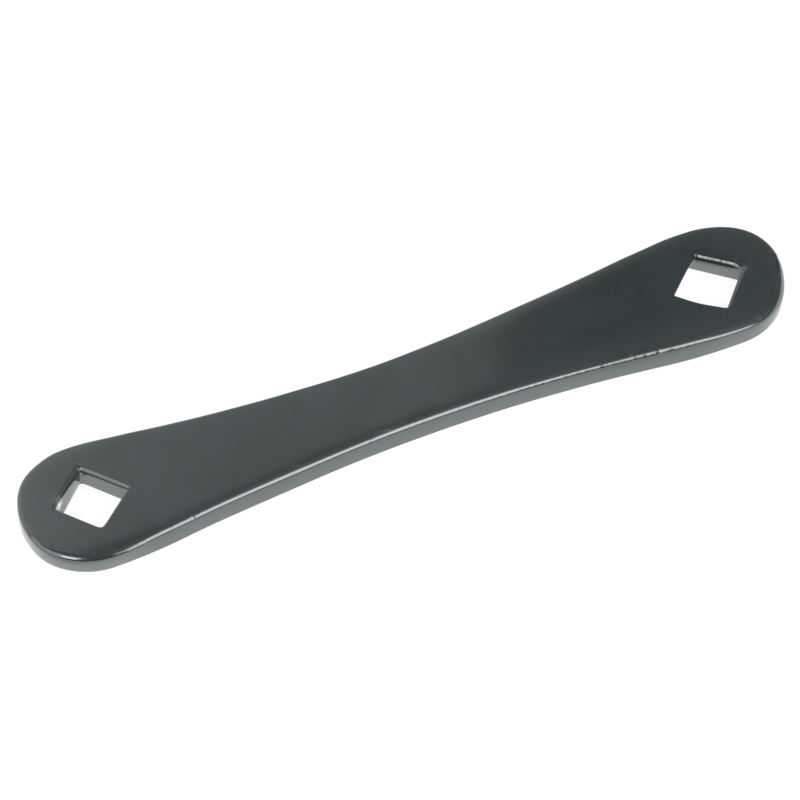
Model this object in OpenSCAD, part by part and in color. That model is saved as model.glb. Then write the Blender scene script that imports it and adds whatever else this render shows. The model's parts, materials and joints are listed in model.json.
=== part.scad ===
// Tank wrench: a flat steel bar, drawn in at the waist, with a square socket through each end.
// Millimetres. The bar lies flat on z = 0 with its length along X and its waist at the origin.

/* [Bar] */
// Length from tip to tip
overall_len = 146.05; // [125:0.05:180]
// Thickness of the bar
bar_t = 4.76; // [3:0.01:8]
// Radius of the half-round nose at each end
nose_r = 12.14; // [11:0.01:15]
// Radius of the long shoulder behind the nose
shoulder_r = 100; // [40:1:150]
// Width across the waist, at mid length
waist_w = 15.37; // [12:0.01:20]
// Rounding of the upper rim
top_edge_r = 0.7; // [0.2:0.05:1.2]
// Rounding of the lower rim
bottom_edge_r = 0.55; // [0.2:0.05:1.2]

/* [Sockets] */
// Width across the flats of the square valve stem that the sockets turn
stem_af = 9.525; // [7:0.005:11]
// Play across the flats between the stem and a socket
stem_play = 0.225; // [0.05:0.005:0.6]
// Left tip to the centre of the left socket
left_reach = 13.2; // [12:0.1:16]
// Right tip to the centre of the right socket
right_reach = 14; // [12:0.1:16]
// Turn of the left socket's sides from the bar's length
left_turn = 39; // [0:1:89]
// Turn of the right socket's sides from the bar's length
right_turn = 49; // [0:1:89]
// Radius of the left socket's upright corners
left_corner_r = 1; // [0.3:0.05:2]
// Radius of the right socket's upright corners
right_corner_r = 0.6; // [0.3:0.05:2]
// Radius of the lip that the punch rolled over at the upper mouth
lip_r = 0.7; // [0.3:0.05:1.2]
// Depth that the rolled lip reaches down the socket wall
lip_depth = 0.6; // [0.2:0.05:1.1]

/* [Hidden] */
$fn = 72;
ring_fn = 360;

// Each quarter of the outline is three tangent arcs: nose, shoulder and waist.
// The shoulder's centre lies below the nose's, and the waist's centre lies on the Y axis.
half_len = overall_len / 2;
half_waist = waist_w / 2;
nose_x = half_len - nose_r;
shoulder_y = nose_r - shoulder_r;
waist_drop = half_waist - shoulder_y;
waist_r = (pow(nose_x, 2) + pow(waist_drop, 2) - pow(shoulder_r, 2)) / (2 * (shoulder_r - waist_drop));
waist_y = half_waist + waist_r;
// Lean of the line through the shoulder's and the waist's centres, on which these two arcs meet
flank_angle = atan2(nose_x, waist_y - shoulder_y);

// Depth of the rounded strip along the rim, and how far into it the core reaches
strip_depth = 0.6 * half_waist;
core_inset = strip_depth / 2;
core_steps = 8;

socket_af = stem_af + stem_play;
through = 1;

// One face's half of the rim's cross-section, rounded where that face meets the rim at the origin
module half_section(edge_r) {
    translate([edge_r, 0])
        square([strip_depth - edge_r, edge_r]);
    translate([0, edge_r])
        square([strip_depth, bar_t / 2 - edge_r]);
    intersection() {
        square(edge_r);
        translate([edge_r, edge_r])
            circle(r = edge_r);
    }
}

// Cross-section of the rim: x = 0 is the rim and the bar lies towards +x
module rim_section() {
    half_section(bottom_edge_r);
    translate([0, bar_t])
        mirror([0, 1])
            half_section(top_edge_r);
}

// Rim turned about the Z axis, with the bar inside it
module outer_ring(r, angle) {
    rotate_extrude(angle = angle, $fn = ring_fn)
        translate([r, 0])
            mirror([1, 0])
                rim_section();
}

// Rim turned about the Z axis, with the bar outside it
module inner_ring(r) {
    rotate_extrude($fn = ring_fn)
        translate([r, 0])
            rim_section();
}

// Upright wedge that keeps one ring's share of the rim
module wedge(points) {
    translate([0, 0, -through])
        linear_extrude(height = bar_t + 2 * through)
            polygon(points);
}

// Rim of the quarter where x and y are positive; the line of centres parts shoulder from waist
module quarter_rim() {
    shoulder_centre = [nose_x, shoulder_y];
    waist_centre = [0, waist_y];
    translate([nose_x, 0, 0])
        outer_ring(nose_r, 90);
    intersection() {
        translate(shoulder_centre)
            outer_ring(shoulder_r, 360);
        wedge([waist_centre, shoulder_centre, [nose_x, waist_y]]);
    }
    intersection() {
        translate(waist_centre)
            inner_ring(waist_r);
        wedge([waist_centre, [0, shoulder_y], shoulder_centre]);
    }
}

// Filling between the strips, its corners halfway into them
module core() {
    waist_in = waist_r + core_inset;
    nose_in = nose_r - core_inset;
    nose_points = [
        for (i = [-core_steps:core_steps])
            let (a = i / core_steps * 90)
                [nose_x + nose_in * cos(a), nose_in * sin(a)]
    ];
    waist_points = [
        for (i = [-core_steps:core_steps])
            let (a = i / core_steps * flank_angle)
                [-waist_in * sin(a), waist_y - waist_in * cos(a)]
    ];
    half = concat(nose_points, waist_points);
    linear_extrude(height = bar_t)
        polygon(concat(half, -half));
}

// Cutting section of a socket wall at this distance from the axis, flared at the upper mouth
module mouth_section(wall) {
    translate([0, -through])
        square([wall, bar_t + 2 * through]);
    translate([wall, bar_t - lip_depth])
        difference() {
            square(lip_r);
            translate([lip_r, 0])
                circle(r = lip_r);
        }
}

// Square socket with rounded corners and a rolled upper mouth
module socket_cut(corner_r) {
    flat = socket_af - 2 * corner_r;
    translate([-flat / 2, -flat / 2, -through])
        cube([flat, flat, bar_t + 2 * through]);
    for (side = [0:3])
        rotate([0, 0, 90 * side])
            translate([flat / 2, flat / 2, 0]) {
                rotate([90, 0, 0])
                    linear_extrude(height = flat)
                        mouth_section(corner_r);
                rotate_extrude(angle = 90)
                    mouth_section(corner_r);
            }
}

module wrench_bar() {
    color([0.30, 0.32, 0.32])
        difference() {
            union() {
                core();
                for (flip_x = [0, 1], flip_y = [0, 1])
                    mirror([flip_x, 0, 0])
                        mirror([0, flip_y, 0])
                            quarter_rim();
            }
            translate([left_reach - half_len, 0, 0])
                rotate([0, 0, left_turn])
                    socket_cut(left_corner_r);
            translate([half_len - right_reach, 0, 0])
                rotate([0, 0, right_turn])
                    socket_cut(right_corner_r);
        }
}

wrench_bar();
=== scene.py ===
import json
import math

import bmesh
import bpy
import numpy as np
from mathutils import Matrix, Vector


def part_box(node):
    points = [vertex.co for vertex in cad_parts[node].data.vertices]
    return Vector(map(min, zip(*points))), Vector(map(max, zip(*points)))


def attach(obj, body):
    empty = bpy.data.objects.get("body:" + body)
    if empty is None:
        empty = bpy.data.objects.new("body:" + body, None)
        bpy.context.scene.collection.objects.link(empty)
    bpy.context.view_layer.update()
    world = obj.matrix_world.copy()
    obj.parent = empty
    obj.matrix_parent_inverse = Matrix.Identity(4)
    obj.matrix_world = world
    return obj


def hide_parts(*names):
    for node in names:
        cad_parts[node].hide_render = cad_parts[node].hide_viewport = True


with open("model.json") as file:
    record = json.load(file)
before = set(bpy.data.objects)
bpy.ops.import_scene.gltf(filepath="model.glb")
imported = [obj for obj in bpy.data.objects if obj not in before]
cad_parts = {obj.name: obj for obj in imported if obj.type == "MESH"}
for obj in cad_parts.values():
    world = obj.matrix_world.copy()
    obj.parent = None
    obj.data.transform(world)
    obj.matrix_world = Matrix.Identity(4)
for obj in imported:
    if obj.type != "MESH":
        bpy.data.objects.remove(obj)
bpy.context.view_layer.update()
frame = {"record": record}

# Bar: one flat steel blank, drawn in at the waist, with a square socket punched through each end.
# It is blanked from strip, tumbled until its rim is round, and given a dark grey satin coat all over.
MM = 0.001
bar_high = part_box("wrench_bar")[1]
half_len = bar_high.x
nose_r = bar_high.y
bar_t = bar_high.z
half_waist = 7.685 * MM
shoulder_r = 100 * MM

# Outline of a quarter: a hollow waist arc, a full shoulder arc and a round nose, each tangent to the next.
nose_x = half_len - nose_r
waist_drop = half_waist + shoulder_r - nose_r
waist_r = (nose_x ** 2 + waist_drop ** 2 - shoulder_r ** 2) / (2 * (shoulder_r - waist_drop))
flank_lean = math.atan2(nose_x, waist_r + waist_drop)
waist_run = waist_r * flank_lean
flank_run = waist_run + shoulder_r * flank_lean
quarter_run = flank_run + nose_r * math.pi / 2

# The blank took a slight set in the press: its middle lies nearer to the viewer than its ends. Its edge was
# also dressed by hand, so it strays from the arcs: the run to the middle of each stray, its half width and
# how far out it goes, in millimetres.
set_middle = -0.72 * MM
set_ends = 0.64 * MM
strays = {
    "right nose, near": (68, 10, 0.1),
    "right nose, full": (85, 12, 0.37),
    "right nose, lean": (96, 10, -0.4),
    "far side, right": (109, 7, -0.12),
    "far side, full": (133.5, 28, 0.5),
    "far side, lean": (165, 14, -0.15),
    "left nose, full": (219, 9, 0.38),
    "left nose, corner": (231, 6, 0.2),
    "left nose, lean": (241, 7, -0.16),
    "left nose, near": (248, 7, 0.15),
    "near side, left": (296, 22, 0.2),
    "near side, right": (40, 38, 0.15),
}


def set_of_bar(x):
    """Sideways set of the bar: its value at the middle plus a share that grows with the square of x."""
    return set_middle + set_ends * (x / half_len) ** 2


def swell(place, middle, half):
    """Share that is 1 at a middle and falls to 0 at a half width on both sides of it: a raised cosine."""
    return 0.5 + 0.5 * np.cos(math.pi * np.clip((place - middle) / half, -1, 1))


def rim_line(run):
    """Point (x, y) and outward direction on the rim, a run from the near side of the waist, anticlockwise.

    The run is folded into one quarter. There each of the three arcs is its centre plus its radius along
    a direction that leans from the Y axis, and the quarter's signs put the point back where it belongs.
    The strays, each a swell along the run, then move it out or in.
    """
    passed = np.floor(run / quarter_run)
    along = run - passed * quarter_run
    quarter = passed.astype(int) % 4
    along = np.where(quarter % 2 == 0, along, quarter_run - along)
    side_x = np.where(quarter < 2, 1.0, -1.0)
    side_y = np.where((quarter == 0) | (quarter == 3), -1.0, 1.0)
    waist_a = np.clip(along, 0, waist_run) / waist_r
    shoulder_a = flank_lean - np.clip(along - waist_run, 0, flank_run - waist_run) / shoulder_r
    nose_a = np.clip(along - flank_run, 0, None) / nose_r
    arcs = [along < waist_run, along < flank_run]
    x = np.select(
        arcs,
        [waist_r * np.sin(waist_a), nose_x - shoulder_r * np.sin(shoulder_a)],
        nose_x + nose_r * np.sin(nose_a),
    )
    y = np.select(
        arcs,
        [
            half_waist + waist_r * (1 - np.cos(waist_a)),
            nose_r - shoulder_r * (1 - np.cos(shoulder_a)),
        ],
        nose_r * np.cos(nose_a),
    )
    lean = np.select(arcs, [-waist_a, -shoulder_a], nose_a)
    line = np.stack([side_x * x, side_y * y + set_of_bar(x)], -1)
    outward = np.stack([side_x * np.sin(lean), side_y * np.cos(lean)], -1)
    stray = sum(out * MM * swell(run, at * MM, half * MM) for at, half, out in strays.values())
    return line + outward * stray[:, None], outward


# Rim: the upper edge is tumbled rounder than the lower one, a little unevenly along the bar. It is sharper on
# the far side and the near right flank, and much rounder where each nose rubs in the drum. The wall is
# crowned, leans in at its foot on the near right flank, and flares towards the top on the near side of both
# noses and round the left tip.
flank_round = 0.70 * MM
right_flank_round = 0.53 * MM
right_flank_full = 30 * MM
right_flank_stretch = 0.5
far_round = 0.50 * MM
right_rub_round = 1.9 * MM
left_rub_round = 1.5 * MM
bottom_round = 0.35 * MM
wall_crown = 0.10 * MM
right_nose_flare = 0.38 * MM
left_nose_flare = 0.70 * MM
left_tip_flare = 0.40 * MM
nose_flare_start = 50 * MM
near_lean = 0.12 * MM
near_lean_run = 24 * MM
near_lean_half = 28 * MM
quarter_steps = 256
top_round_steps = 12
wall_steps = 5
bottom_round_steps = 7

# Where on the rim these are strongest: a way of the compass, anticlockwise from +X, and how far to both sides
# of it they reach, in degrees.
far_side = (90, 90)
near_side = (-90, 60)
right_rub = (-32, 45)
left_rub = (235, 38)
near_flare = (-90, 110)
left_tip = (210, 75)

# How the rounding varies: waves round the whole rim, share and phase of each of three sines.
round_swing = 0.03 * MM
round_waves = ((5, 1.0, 0.7), (13, 0.6, 2.1), (29, 0.4, 4.0))


def ease(share):
    """Smooth step from 0 to 1: three times the share squared less twice its cube, level at both ends."""
    share = np.clip(share, 0, 1)
    return share ** 2 * (3 - 2 * share)


def lobe(angle, way, width):
    """Swell along one way of the compass that falls to 0 at a width on both sides of it, in degrees."""
    off = np.mod(angle - math.radians(way) + math.pi, 2 * math.pi) - math.pi
    return swell(off, 0, math.radians(width))


def inner_steps(steps):
    """Shares of the way from 0 to 1 in equal steps, one to a row, with both ends left out."""
    return np.linspace(0, 1, steps + 2)[1:-1, None]


run = np.linspace(0, 4 * quarter_run, 4 * quarter_steps, endpoint=False)
rim_xy, rim_out = rim_line(run)
rim_way = np.arctan2(rim_out[:, 1], rim_out[:, 0])
rim_turn = 2 * math.pi * run / (4 * quarter_run)
uneven = sum(share * np.sin(count * rim_turn + phase) for count, share, phase in round_waves)
right_flank = ease(rim_xy[:, 0] / right_flank_full) * lobe(rim_way, *near_side)
top_round = flank_round + round_swing * uneven
top_round += (far_round - flank_round) * lobe(rim_way, *far_side)
top_round += (right_flank_round - flank_round) * right_flank
top_round += (right_rub_round - flank_round) * lobe(rim_way, *right_rub)
top_round += (left_rub_round - flank_round) * lobe(rim_way, *left_rub)

top_tilt = np.radians(np.linspace(90, 0, top_round_steps))[:, None]
bottom_tilt = np.radians(np.linspace(0, 90, bottom_round_steps))[:, None]
down_wall = inner_steps(wall_steps)
top_drop = top_round * (1 + right_flank_stretch * right_flank)
wall_top = bar_t - top_drop
rim_height = np.concatenate([
    bar_t - top_drop * (1 - np.sin(top_tilt)),
    wall_top + (bottom_round - wall_top) * down_wall,
    bottom_round * (1 - np.sin(bottom_tilt)) + 0 * top_round,
])
rim_inset = np.concatenate([
    top_round * (1 - np.cos(top_tilt)),
    0 * down_wall * top_round,
    bottom_round * (1 - np.cos(bottom_tilt)) + 0 * top_round,
])
rim_inset += wall_crown * (2 * rim_height / bar_t - 1) ** 2
rim_inset += near_lean * swell(run, near_lean_run, near_lean_half) * (1 - rim_height / bar_t)
on_right = rim_xy[:, 0] > 0
nose_share = ease((np.abs(rim_xy[:, 0]) - nose_flare_start) / (nose_x - nose_flare_start))
nose_flare = np.where(on_right, right_nose_flare, left_nose_flare) * lobe(rim_way, *near_flare)
nose_flare += np.where(on_right, 0, left_tip_flare) * lobe(rim_way, *left_tip)
rim_inset -= nose_flare * nose_share * rim_height / bar_t
rim_flat = rim_xy - rim_out * rim_inset[..., None]
rim_grid = np.concatenate([rim_flat, rim_height[..., None]], -1)

# Sockets: square holes for the valve stem, punched from above, so the upper mouth is drawn over into a lip.
# Each side tore a little differently, and the lower mouth only breaks its edge.
stem_af = 9.525 * MM
stem_play = 0.225 * MM
half_af = (stem_af + stem_play) / 2
break_r = 0.2 * MM
face_margin = 0.05 * MM
handle_spread = 0.72
side_power = 8
right_corner = (-6, 45)
far_corner = (84, 45)
far_corner_gain = 1.6
right_corner_power = 36
left_corner_power = 11
left_sharp_power = 26
lip_steps = 14
bore_steps = 5
break_steps = 4
face_steps = 18
cut_steps = 24

# The sides of each socket in turn: far, handle, near and tip on the right, and far, tip, near and handle on
# the left. Each has a way from the axis, how far it stands out of true, its bow, its lip's reach and depth,
# how much the lip grows anticlockwise, the lip's crease, its lean and its twist, in millimetres and degrees.
right_sides = {
    "way": (50, 133, 229, 318.5),
    "out": (-0.42, -0.85, 0.10, 0.40),
    "bow": (0, 0, 0.40, 0),
    "lip_reach": (0.75, 0.15, 0.25, 1.00),
    "lip_depth": (1.50, 0.30, 0.30, 0.20),
    "lip_growth": (0, 0, 0, 0.5),
    "crease": (36, 0, 0, 0),
    "lean": (0.60, 1.30, 0, 0.10),
    "twist": (-1.3, 0, 0, 0),
}
left_sides = {
    "way": (40, 129, 219, 309.5),
    "out": (-0.15, 0, 0.10, -0.25),
    "bow": (0, 0, 0, 0),
    "lip_reach": (0.65, 0.95, 0.30, 0.30),
    "lip_depth": (0.95, 0.95, 0.40, 0.40),
    "lip_growth": (0, -0.2, 0, 0),
    "crease": (30, 0, 0, 0),
    "lean": (0.35, -0.15, 0, 0),
    "twist": (-1.0, 4.6, 0, 0),
}


def end_grids(loop_top, loop_bottom, centre, handle, sides, round_power, sharp_power):
    """Upper face, socket wall and lower face of one end of the bar, as three grids round the socket.

    A column joins a point on the socket to one on the loop of rim and cut line. The loop's angle round the
    socket is spread out by a sine, so that the side towards the handle isn't crowded. The faces run straight
    from mouth to loop, and the upper one has one more row close to the mouth, which keeps the lip's shading
    on the lip. The socket wall is a lip, a bore and a broken lower edge. The lip is what a crease leaves of a
    quarter ellipse. Its depth and crease pass from side to side by the cosine to each, raised to a power.

    On each row the reach from the axis is taken from four straight sides: the cosine to each side over its
    distance, raised to a power that rounds the corners, then summed, rooted and inverted. A side's distance
    bows by the cosine of twice the angle off it and leans with the depth, and its way twists with the square
    of the depth. A second power makes the corner at the right sharper, and the far corner too, by the root of
    the height, so that it is sharpest at the upper mouth.
    """
    bearing = np.arctan2(loop_top[:, 1] - centre[1], loop_top[:, 0] - centre[0]) - handle
    bearing = np.mod(bearing + math.pi, 2 * math.pi) - math.pi
    angle = bearing + handle_spread * np.sin(bearing) + handle
    ray = np.stack([np.cos(angle), np.sin(angle)], -1)
    side = {name: np.array(values, float)[:, None, None] for name, values in sides.items()}
    way = np.radians(side["way"])

    facing_side = np.maximum(np.cos(angle - way), 0) ** side_power
    facing_side /= facing_side.sum(0)
    depth = (facing_side * side["lip_depth"] * MM).sum(0)
    crease = (facing_side * np.radians(side["crease"])).sum(0)
    lip_tilt = crease + (math.pi / 2 - crease) * np.linspace(0, 1, lip_steps)[:, None]
    break_tilt = np.radians(np.linspace(0, 90, break_steps))[:, None]
    height = np.concatenate([
        bar_t - depth * (1 - np.cos(lip_tilt) / np.cos(crease)),
        bar_t - depth + (break_r - bar_t + depth) * inner_steps(bore_steps),
        break_r * (1 - np.sin(break_tilt)) + 0 * depth,
    ])
    lip_share = np.zeros_like(height)
    lip_share[:lip_steps] = (1 - np.sin(lip_tilt)) / (1 - np.sin(crease))
    broken = np.zeros_like(height)
    broken[-break_steps:] = break_r * (1 - np.cos(break_tilt))
    sunk = np.clip((bar_t - depth - height) / (bar_t - depth), 0, 1)

    bowed = side["bow"] * np.maximum(np.cos(2 * (angle - way)), 0)
    off_side = np.mod(angle - way + math.pi, 2 * math.pi) - math.pi
    lip_growth = 1 + side["lip_growth"] * np.clip(off_side / (math.pi / 4), -1, 1)
    lip = side["lip_reach"] * lip_growth * lip_share
    distance = half_af + broken + (side["out"] + bowed + side["lean"] * sunk + lip) * MM
    far_sharp = far_corner_gain * lobe(angle, *far_corner) * np.sqrt(height / bar_t)
    sharp_share = np.maximum(lobe(angle, *right_corner), far_sharp)
    corner_power = round_power + (sharp_power - round_power) * sharp_share
    towards = np.maximum(np.cos(angle - way - np.radians(side["twist"]) * sunk ** 2), 0)
    reach = ((towards / distance) ** corner_power).sum(0) ** (-1 / corner_power)
    wall_flat = centre + ray * reach[..., None]
    wall = np.concatenate([wall_flat, height[..., None]], -1)

    margin = face_margin / np.linalg.norm(loop_top - wall[0], axis=1)[:, None]
    lower_share = (0.5 - 0.5 * np.cos(np.linspace(0, math.pi, face_steps)))[:, None, None] + 0 * margin
    upper_share = np.concatenate([lower_share[:1], margin[None], lower_share[1:]])
    upper = (1 - upper_share) * wall[0] + upper_share * loop_top
    lower = (1 - lower_share) * wall[-1] + lower_share * loop_bottom
    return upper, wall, lower


mounts = {mount["name"]: mount["pos_m"] for mount in frame["record"]["mounts"]}
half_steps = 2 * quarter_steps
right_half = np.arange(half_steps + 1)
left_half = (right_half + half_steps) % (2 * half_steps)
right_loops = []
left_loops = []
for ring in (rim_grid[0], rim_grid[-1]):
    cut = ring[half_steps] + (ring[0] - ring[half_steps]) * inner_steps(cut_steps)
    right_loops.append(np.concatenate([ring[right_half], cut]))
    left_loops.append(np.concatenate([ring[left_half], cut[::-1]]))
grids = [rim_grid]
grids += end_grids(
    *right_loops,
    centre=np.array(mounts["right_socket"][:2]),
    handle=math.pi,
    sides=right_sides,
    round_power=right_corner_power,
    sharp_power=right_corner_power,
)
grids += end_grids(
    *left_loops,
    centre=np.array(mounts["left_socket"][:2]),
    handle=0.0,
    sides=left_sides,
    round_power=left_corner_power,
    sharp_power=left_sharp_power,
)


def closed_grid_faces(rows, columns, first):
    """Quads of a grid of points whose columns close on themselves: each joins two rows and two columns."""
    row = np.arange(rows - 1)[:, None] * columns
    column = np.arange(columns)[None, :]
    after = (column + 1) % columns
    quads = np.stack([row + column, row + after, row + columns + after, row + columns + column], -1)
    return first + quads.reshape(-1, 4)


weld_gap = 0.0001 * MM
firsts = np.cumsum([0] + [grid.shape[0] * grid.shape[1] for grid in grids])
points = np.concatenate([grid.reshape(-1, 3) for grid in grids])
quads = np.concatenate([
    closed_grid_faces(grid.shape[0], grid.shape[1], first) for grid, first in zip(grids, firsts)
])
bar_mesh = bpy.data.meshes.new("bar")
bar_mesh.from_pydata(points.tolist(), [], quads.tolist())
welded = bmesh.new()
welded.from_mesh(bar_mesh)
bmesh.ops.remove_doubles(welded, verts=welded.verts, dist=weld_gap)
bmesh.ops.recalc_face_normals(welded, faces=welded.faces)
welded.to_mesh(bar_mesh)
welded.free()
bar_mesh.polygons.foreach_set("use_smooth", np.ones(len(bar_mesh.polygons), bool))

# Relief: what blanking, tumbling and use left on the metal. The upper face falls away a little towards the
# rim, with a second, shorter fall along the near edge that stays off the left nose. Both falls start a third
# of the way up the wall. The whole surface waves gently.
fall_depth = 0.10 * MM
fall_reach = 2.0 * MM
near_fall_depth = 0.05 * MM
near_fall_reach = 0.5 * MM
near_fall_start = -69 * MM
near_fall_ease = 12 * MM
relief_low = 0.35 * bar_t
relief_rise = 0.3 * bar_t
wave_seed = 7
wave_count = 14
wave_shortest = 9 * MM
wave_longest = 45 * MM
wave_slope = 0.0022


def rim_gap(spot):
    """Distance from a point to the rim: to the nose, shoulder or waist arc, whichever is level with it."""
    x = np.abs(spot[:, 0])
    y = np.abs(spot[:, 1] - set_of_bar(spot[:, 0]))
    from_nose = nose_r - np.hypot(x - nose_x, y)
    from_shoulder = shoulder_r - np.hypot(x - nose_x, y + shoulder_r - nose_r)
    from_waist = np.hypot(x, y - half_waist - waist_r) - waist_r
    lean = np.arctan2(nose_x - x, y + shoulder_r - nose_r)
    return np.select([x > nose_x, lean < flank_lean], [from_nose, from_shoulder], from_waist)


spots = np.empty(len(bar_mesh.vertices) * 3)
bar_mesh.vertices.foreach_get("co", spots)
spots = spots.reshape(-1, 3)
facing = np.empty(spots.size)
bar_mesh.vertex_normals.foreach_get("vector", facing)
facing = facing.reshape(-1, 3)
gap = np.maximum(rim_gap(spots), 0)
near_half = spots[:, 1] < 0
up_wall = np.clip((spots[:, 2] - relief_low) / relief_rise, 0, 1)
fall = fall_depth * np.exp(-gap / fall_reach) * up_wall
past_roll = (gap - flank_round) / near_fall_reach
near_fall = near_fall_depth * np.where(past_roll > 0, np.exp(-past_roll), 1 - past_roll)
past_nose = ease((spots[:, 0] - near_fall_start) / near_fall_ease)
fall += near_fall * up_wall * past_nose * near_half

wave_draw = np.random.default_rng(wave_seed)
wave_lengths = np.geomspace(wave_shortest, wave_longest, wave_count)
wave_ways = wave_draw.normal(size=(wave_count, 3))
wave_ways /= np.linalg.norm(wave_ways, axis=1)[:, None]
wave_phases = wave_draw.uniform(0, 2 * math.pi, wave_count)
phases = spots @ (wave_ways.T * 2 * math.pi / wave_lengths) + wave_phases
waves = np.sin(phases) @ (wave_slope * wave_lengths / (2 * math.pi))

# Nicks in the near edge: place along, across and up the bar, radius, depth, which is below zero for a burr,
# and how much bare steel shows. Lengths are in millimetres.
nicks = np.array([
    (-45.4, -10.9, 4.5, 0.28, 0.10, 0.0),
    (-24.2, -8.0, 4.3, 0.40, 0.05, 0.1),
    (-9.8, -8.5, 4.5, 0.50, -0.05, 0.0),
    (-6.5, -7.5, 4.7, 0.30, 0.04, 0.2),
    (33.5, -9.4, 4.4, 0.50, 0.04, 0.0),
    (36.8, -9.7, 4.5, 0.40, 0.02, 0.0),
    (39.6, -9.95, 4.4, 0.45, 0.04, 0.1),
    (42.2, -10.2, 4.5, 0.40, 0.02, 0.0),
    (44.8, -11.0, 4.6, 0.32, -0.06, 0.35),
    (49.5, -11.4, 4.4, 0.50, 0.04, 0.0),
    (64.0, -11.8, 4.6, 0.25, 0.02, 0.1),
])
nick_at = nicks[:, :3] * MM
nick_r = nicks[:, 3] * MM
nick_depth = nicks[:, 4] * MM
nick_bare = nicks[:, 5]


def patch_shares(spot, middles, radii):
    """Bell curves round some middles, one to a column: e to minus the square of distance over radius."""
    off = np.linalg.norm(spot[:, None, :] - middles[None], axis=2) / radii
    return np.exp(-off ** 2)


nick_share = patch_shares(spots, nick_at, nick_r)

# Chatter: a ripple that the dressing left along the near edge, faint all the way and full on the right flank.
# Each ripple has a share, a wavelength, the lengths over which that wavelength wanders and the ripple swells,
# all in millimetres, and the swell's phase.
chatter_x = 40 * MM
chatter_half = 18 * MM
chatter_wide = 1.2 * MM
chatter_low = 0.6 * bar_t
chatter_depth = 0.02 * MM
chatter_faint = 0.3
ripple_wander = 2
ripples = {
    "coarse": (1.0, 2.3, 7.1, 5.9, 1),
    "fine": (0.6, 1.5, 3.7, 4.3, 2),
}
on_edge = (gap < chatter_wide) & near_half & (spots[:, 2] > chatter_low)
chattered = on_edge * swell(spots[:, 0], chatter_x, chatter_half)
chatter_turn = 2 * math.pi * spots[:, 0] / MM
ripple = sum(
    share
    * np.sin(chatter_turn / length + ripple_wander * np.sin(chatter_turn / wander))
    * np.sin(chatter_turn / rise + phase)
    for share, length, wander, rise, phase in ripples.values()
)
chatter = chatter_depth * (chatter_faint * on_edge + (1 - chatter_faint) * chattered) * ripple

# Torn lip: the punch dragged at the far side of the right socket, so the lip there is uneven lengthwise.
# The tear is a short wave that swells and fades, with a longer, shallower one over it.
torn_way = math.radians(right_sides["way"][0])
torn_out = 5.2 * MM
torn_wide = 0.9 * MM
torn_half = 5.5 * MM
torn_depth = 0.028 * MM
tear_length = 2.3 * MM
tear_swell_length = 5.3 * MM
tear_swell_phase = 1
long_tear_length = 3.7 * MM
long_tear_phase = 2
long_tear_share = 0.5
from_socket = spots[:, :2] - mounts["right_socket"][:2]
outwards = from_socket @ np.array([math.cos(torn_way), math.sin(torn_way)])
sideways = from_socket @ np.array([-math.sin(torn_way), math.cos(torn_way)])
torn = np.exp(-((outwards - torn_out) / torn_wide) ** 2) * (np.abs(sideways) < torn_half) * up_wall
tear_turn = 2 * math.pi * sideways
tear = np.sin(tear_turn / tear_length) * np.sin(tear_turn / tear_swell_length + tear_swell_phase)
tear += long_tear_share * np.sin(tear_turn / long_tear_length + long_tear_phase)

lift = waves - nick_share @ nick_depth + chatter + torn_depth * torn * tear
spots = spots + facing * lift[:, None]
spots[:, 2] -= fall
bar_mesh.vertices.foreach_set("co", spots.ravel())

# Bare steel: it shows in the brightest nicks, and in one corner of the left socket that the stem rubs.
rubbed_corner = np.array([(-65.2, 1.7, 3.4)]) * MM
rubbed_corner_r = 1.0 * MM
bare = nick_share @ nick_bare + patch_shares(spots, rubbed_corner, rubbed_corner_r)[:, 0]
bar_mesh.attributes.new("bare", "FLOAT", "POINT").data.foreach_set("value", np.clip(bare, 0, 1))

# Dull places: scale left in a corner of each socket, smudges by the left nose, the chattered edge and the
# torn lip. Each row has a place along, across and up the bar and a radius, in millimetres, and how dull it
# is there.
dulls = np.array([
    (-59.4, 6.6, 4.5, 0.8, 0.80),
    (59.4, 5.6, 4.5, 0.9, 0.70),
    (-63.0, -10.4, 4.7, 1.2, 0.70),
    (-59.5, -11.3, 4.7, 1.3, 0.55),
    (-56.3, -11.3, 4.7, 1.3, 0.55),
    (-53.1, -10.6, 4.7, 1.3, 0.45),
])
dull_at = dulls[:, :3] * MM
dull_r = dulls[:, 3] * MM
dull_share = dulls[:, 4]
chatter_dull = 0.8
torn_dull = 0.8
dull = patch_shares(spots, dull_at, dull_r) @ dull_share
dull += chatter_dull * chattered + torn_dull * torn
bar_mesh.attributes.new("dull", "FLOAT", "POINT").data.foreach_set("value", np.clip(dull, 0, 1))
bar_mesh.update()

# Finish: a dark grey satin coat over steel, clouded in soft patches and dusted with fine pale specks.
# It is darker and rougher where it is dull, and gone where the steel is bare.
coat_dark = (0.0215, 0.0303, 0.0303, 1)
coat_pale = (0.0312, 0.0413, 0.0422, 1)
coat_dull = (0.006, 0.008, 0.008, 1)
coat_gleam = (0.92, 1.0, 1.0, 1)
coat_ior = 2.0
dust_tint = (0.085, 0.095, 0.095, 1)
steel_tint = (0.80, 0.81, 0.81, 1)
cloud_dark_at = 0.3
cloud_pale_at = 0.7
speck_core = 0.02
speck_edge = 0.08
smoothest = 0.09
roughest = 0.15
dull_rough = 0.12


def add_node(tree, kind, **settings):
    """A shader node in a tree, with its sockets and properties set by name."""
    node = tree.nodes.new(kind)
    for name, value in settings.items():
        if name in node.inputs:
            node.inputs[name].default_value = value
        else:
            setattr(node, name, value)
    return node


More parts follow.
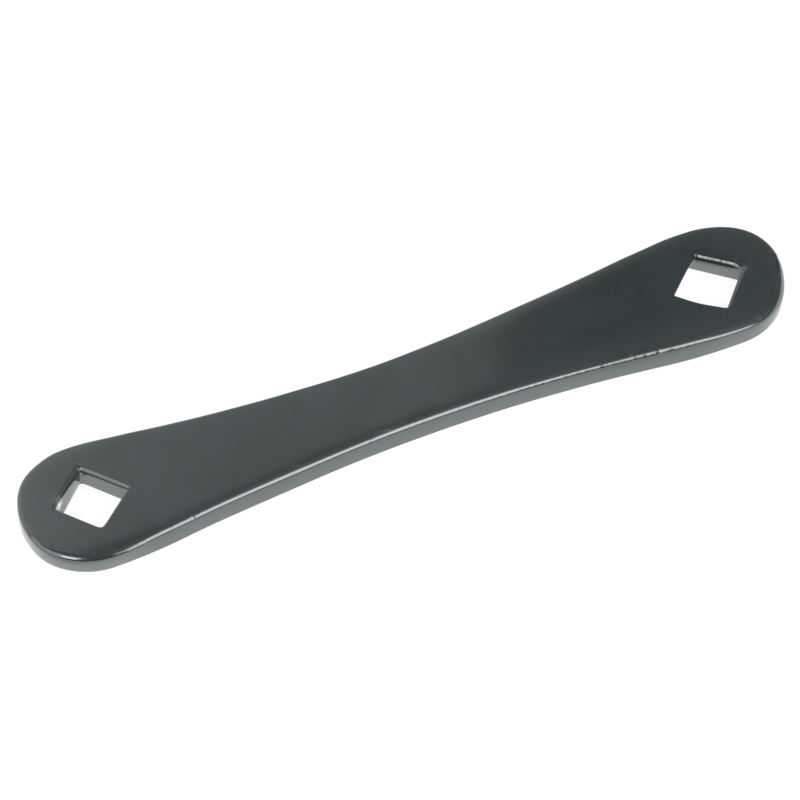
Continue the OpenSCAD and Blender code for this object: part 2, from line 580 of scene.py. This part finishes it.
def add_range(tree, value, start, end, first, last):
    """A number that runs from a first to a last value while a socket's value runs from a start to an end."""
    node = add_node(tree, "ShaderNodeMapRange")
    node.inputs["From Min"].default_value = start
    node.inputs["From Max"].default_value = end
    node.inputs["To Min"].default_value = first
    node.inputs["To Max"].default_value = last
    tree.links.new(value, node.inputs["Value"])
    return node.outputs["Result"]


def add_math(tree, operation, *terms):
    """One step of arithmetic, whose terms are sockets to link or plain numbers."""
    node = add_node(tree, "ShaderNodeMath", operation=operation)
    for slot, term in zip(node.inputs, terms):
        if isinstance(term, bpy.types.NodeSocket):
            tree.links.new(term, slot)
        else:
            slot.default_value = term
    return node.outputs[0]


def add_tint(tree, share, under, tint):
    """A colour that goes from the one under it to a tint, by a share."""
    node = add_node(tree, "ShaderNodeMix", data_type="RGBA")
    tree.links.new(share, node.inputs["Factor"])
    tree.links.new(under, node.inputs["A"])
    node.inputs["B"].default_value = tint
    return node.outputs["Result"]


finish = bpy.data.materials.new("blackened_steel")
finish.use_nodes = True
finish_tree = finish.node_tree
finish_tree.nodes.clear()
finish_links = finish_tree.links
on_bar = add_node(finish_tree, "ShaderNodeTexCoord").outputs["Object"]
dulled = add_node(finish_tree, "ShaderNodeAttribute", attribute_name="dull").outputs["Fac"]
worn = add_node(finish_tree, "ShaderNodeAttribute", attribute_name="bare").outputs["Fac"]
clouds = add_node(finish_tree, "ShaderNodeTexNoise", Scale=55.0, Detail=4.0, Roughness=0.55, Distortion=0.6)
finish_links.new(on_bar, clouds.inputs["Vector"])
cloud_tint = add_node(finish_tree, "ShaderNodeValToRGB")
cloud_tint.color_ramp.elements[0].position = cloud_dark_at
cloud_tint.color_ramp.elements[0].color = coat_dark
cloud_tint.color_ramp.elements[1].position = cloud_pale_at
cloud_tint.color_ramp.elements[1].color = coat_pale
finish_links.new(clouds.outputs["Fac"], cloud_tint.inputs["Fac"])
specks = add_node(finish_tree, "ShaderNodeTexVoronoi", Scale=350.0)
finish_links.new(on_bar, specks.inputs["Vector"])
speck_size = add_range(finish_tree, specks.outputs["Distance"], speck_core, speck_edge, 1.0, 0.0)
speck_pick = add_math(finish_tree, "MULTIPLY", speck_size, specks.outputs["Color"])
smudged = add_tint(finish_tree, dulled, cloud_tint.outputs["Color"], coat_dull)
dusted = add_tint(finish_tree, speck_pick, smudged, dust_tint)
rubbed = add_tint(finish_tree, worn, dusted, steel_tint)
grain = add_node(finish_tree, "ShaderNodeTexNoise", Scale=900.0, Detail=5.0, Roughness=0.6)
finish_links.new(on_bar, grain.inputs["Vector"])
satin = add_range(finish_tree, grain.outputs["Fac"], 0.0, 1.0, smoothest, roughest)
rough = add_math(finish_tree, "MULTIPLY_ADD", dulled, dull_rough, satin)
skin = add_node(finish_tree, "ShaderNodeBump", Strength=0.06, Distance=0.03 * MM)
finish_links.new(grain.outputs["Fac"], skin.inputs["Height"])
coat = add_node(finish_tree, "ShaderNodeBsdfPrincipled", IOR=coat_ior)
coat.inputs["Specular Tint"].default_value = coat_gleam
finish_links.new(rubbed, coat.inputs["Base Color"])
finish_links.new(worn, coat.inputs["Metallic"])
finish_links.new(rough, coat.inputs["Roughness"])
finish_links.new(skin.outputs["Normal"], coat.inputs["Normal"])
finish_out = add_node(finish_tree, "ShaderNodeOutputMaterial")
finish_links.new(coat.outputs["BSDF"], finish_out.inputs["Surface"])
bar_mesh.materials.append(finish)

bar = bpy.data.objects.new("bar", bar_mesh)
bpy.context.scene.collection.objects.link(bar)
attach(bar, "root")
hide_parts("wrench_bar")

# Table: a plain white sheet of paper that the bar lies on. To the eye, and mirrored in the bar, it glows
# white with a faint shadow left in it, and to all other light it is plain paper.
sheet_half = 4.0
paper_glow = 0.86
paper_mirrored_extra = 0.19
paper_shade = (0.25, 0.25, 0.25, 1)
paper_plain = (0.8, 0.8, 0.8, 1)
sheet_corners = [(-1, -1, 0), (1, -1, 0), (1, 1, 0), (-1, 1, 0)]
sheet_mesh = bpy.data.meshes.new("table")
sheet_mesh.from_pydata((sheet_half * np.array(sheet_corners)).tolist(), [], [(0, 1, 2, 3)])
paper = bpy.data.materials.new("white_paper")
paper.use_nodes = True
paper_tree = paper.node_tree
paper_tree.nodes.clear()
paper_links = paper_tree.links
paper_ray = add_node(paper_tree, "ShaderNodeLightPath").outputs
mirrored = paper_ray["Is Glossy Ray"]
looked_at = add_math(paper_tree, "MAXIMUM", paper_ray["Is Camera Ray"], mirrored)
looked_at = add_math(paper_tree, "MAXIMUM", looked_at, paper_ray["Is Transmission Ray"])
glow_strength = add_math(paper_tree, "MULTIPLY_ADD", mirrored, paper_mirrored_extra, paper_glow)
glow = add_node(paper_tree, "ShaderNodeEmission")
paper_links.new(glow_strength, glow.inputs["Strength"])
shade = add_node(paper_tree, "ShaderNodeBsdfDiffuse", Color=paper_shade)
shaded_glow = add_node(paper_tree, "ShaderNodeAddShader")
paper_links.new(glow.outputs[0], shaded_glow.inputs[0])
paper_links.new(shade.outputs[0], shaded_glow.inputs[1])
plain = add_node(paper_tree, "ShaderNodeBsdfDiffuse", Color=paper_plain)
paper_mix = add_node(paper_tree, "ShaderNodeMixShader")
paper_links.new(looked_at, paper_mix.inputs[0])
paper_links.new(plain.outputs[0], paper_mix.inputs[1])
paper_links.new(shaded_glow.outputs[0], paper_mix.inputs[2])
paper_out = add_node(paper_tree, "ShaderNodeOutputMaterial")
paper_links.new(paper_mix.outputs[0], paper_out.inputs["Surface"])
sheet_mesh.materials.append(paper)
sheet = bpy.data.objects.new("table", sheet_mesh)
bpy.context.scene.collection.objects.link(sheet)

# Studio: a soft window in front at the right, a far one at the left, fills at both sides and a dim ceiling
# with a brighter panel below it. Pale cards stand behind the bar, and its upper face mirrors them, so their
# edges and fades are the tones along the face.
card_y = 0.209
card_left = -0.45
card_right = 0.1145
card_low = 0.005
card_high = 0.355
card_x = (card_left + card_right) / 2
card_z = (card_low + card_high) / 2
card_w = card_right - card_left
card_h = card_high - card_low

# Each lamp: where it hangs, what it faces, its width, its height and how bright it looks.
lamps = {
    "window": ((0.145, -0.24, 0.23), (0.03, 0.0, 0.0), 0.22, 0.34, 4.1),
    "side_window": ((-1.16, -1.03, 1.13), (0.0, 0.0, 0.0), 0.46, 0.90, 4.0),
    "left_fill": ((-0.42, -0.04, 0.25), (-0.06, 0.0, 0.0), 0.48, 0.48, 1.2),
    "right_fill": ((0.50, -0.05, 0.22), (0.06, 0.0, 0.0), 0.45, 0.42, 0.13),
    "right_top": ((0.48, -0.10, 0.58), (0.06, 0.0, 0.0), 0.26, 0.26, 0.45),
    "ceiling": ((0.0, -0.10, 0.60), (0.0, -0.10, 0.0), 1.3, 0.98, 0.09),
    "window_top": ((0.155, 0.03, 0.57), (0.155, 0.03, 0.0), 0.28, 0.56, 0.9),
    "left_card": ((-0.23, 0.205, 0.35), (-0.23, 0.0, 0.35), 0.50, 0.50, 0.22),
    "low_card": ((0.26, card_y, 0.13), (0.26, 0.0, 0.13), 0.29, 0.26, 0.28),
    "back_card": ((card_x, card_y, card_z), (card_x, 0.0, card_z), card_w, card_h, 1.0),
    "high_card": ((0.25, card_y, 0.315), (0.25, 0.0, 0.315), 0.27, 0.11, 0.12),
}

# Each fade: the lamp, an axis of the room, from where to where along it, and the share of the lamp's
# brightness at both places. The fades of one lamp multiply.
fades = [
    ("window", "X", 0.045, 0.085, 0.40, 1.00),
    ("window", "X", 0.090, 0.280, 1.00, 0.20),
    ("ceiling", "X", -0.55, -0.20, 3.2, 1.0),
    ("window_top", "Y", -0.25, 0.30, 1.0, 0.0),
    ("window_top", "X", 0.07, 0.12, 0.2, 1.0),
    ("left_card", "X", -0.035, 0.022, 1.0, 0.0),
    ("left_card", "Z", 0.28, 0.40, 0.9, 2.4),
    ("back_card", "Z", 0.20, 0.285, 0.72, 0.39),
    ("back_card", "Z", 0.315, card_high, 1.0, 0.51),
    ("back_card", "X", 0.015, 0.05, 0.97, 0.72),
    ("back_card", "X", 0.08, 0.10, 1.0, 1.22),
    ("high_card", "X", 0.155, 0.18, 0.0, 1.0),
    ("high_card", "Z", 0.26, 0.32, 1.8, 0.1),
]


def hang_lamp(name, place, aim, width, height, brightness):
    """An area lamp that faces a point. Its power is four times its area times the brightness it shows."""
    lamp = bpy.data.lights.new(name, "AREA")
    lamp.shape = "RECTANGLE"
    lamp.size = width
    lamp.size_y = height
    lamp.energy = 4 * width * height * brightness
    holder = bpy.data.objects.new(name, lamp)
    holder.location = place
    holder.rotation_euler = (Vector(aim) - Vector(place)).to_track_quat("-Z", "Y").to_euler()
    holder.visible_camera = False
    bpy.context.scene.collection.objects.link(holder)


def fade_lamp(lamp, axis, start, end, first, last):
    """Grades a lamp along one axis of the room: its brightness times a share that runs between two places."""
    lamp.use_nodes = True
    tree = lamp.node_tree
    shine = tree.nodes["Emission"].inputs["Strength"]
    so_far = shine.links[0].from_socket if shine.is_linked else shine.default_value
    spot = add_node(tree, "ShaderNodeSeparateXYZ")
    tree.links.new(add_node(tree, "ShaderNodeNewGeometry").outputs["Position"], spot.inputs[0])
    share = add_range(tree, spot.outputs[axis], start, end, first, last)
    tree.links.new(add_math(tree, "MULTIPLY", share, so_far), shine)


for name, settings in lamps.items():
    hang_lamp(name, *settings)
for name, *settings in fades:
    fade_lamp(bpy.data.lights[name], *settings)

# Room: white to the eye, and a dim grey to all other light.
room_grey = 0.07
white = (1, 1, 1, 1)
room = bpy.data.worlds.new("room")
bpy.context.scene.world = room
room.use_nodes = True
room_tree = room.node_tree
room_tree.nodes.clear()
room_links = room_tree.links
room_ray = add_node(room_tree, "ShaderNodeLightPath").outputs
dim = add_node(room_tree, "ShaderNodeBackground", Color=white, Strength=room_grey)
bright = add_node(room_tree, "ShaderNodeBackground", Color=white)
room_mix = add_node(room_tree, "ShaderNodeMixShader")
room_links.new(room_ray["Is Camera Ray"], room_mix.inputs[0])
room_links.new(dim.outputs[0], room_mix.inputs[1])
room_links.new(bright.outputs[0], room_mix.inputs[2])
room_out = add_node(room_tree, "ShaderNodeOutputWorld")
room_links.new(room_mix.outputs[0], room_out.inputs["Surface"])
bpy.context.scene.view_settings.view_transform = "Standard"

# Camera: a long lens from in front, left and above, aimed close to the middle of the bar. Its length follows
# from its distance and from how many pixels a millimetre at the aim takes up.
image_size = 800
pixels_per_mm = 5.6487
camera_far = 1573 * MM
camera_round = math.radians(-24.10)
camera_up = math.radians(52.65)
camera_aim = Vector((-0.36 * MM, 1.00 * MM, 0))
camera_back = Vector((
    math.sin(camera_round) * math.cos(camera_up),
    -math.cos(camera_round) * math.cos(camera_up),
    math.sin(camera_up),
))
lens = bpy.data.cameras.new("camera")
lens.sensor_width = 36.0
lens.lens = pixels_per_mm / MM * camera_far / image_size * lens.sensor_width
lens.clip_start = 0.01
lens.clip_end = 20.0
camera = bpy.data.objects.new("camera", lens)
camera.location = camera_aim + camera_far * camera_back
camera.rotation_euler = (-camera_back).to_track_quat("-Z", "Y").to_euler()
bpy.context.scene.collection.objects.link(camera)
bpy.context.scene.camera = camera
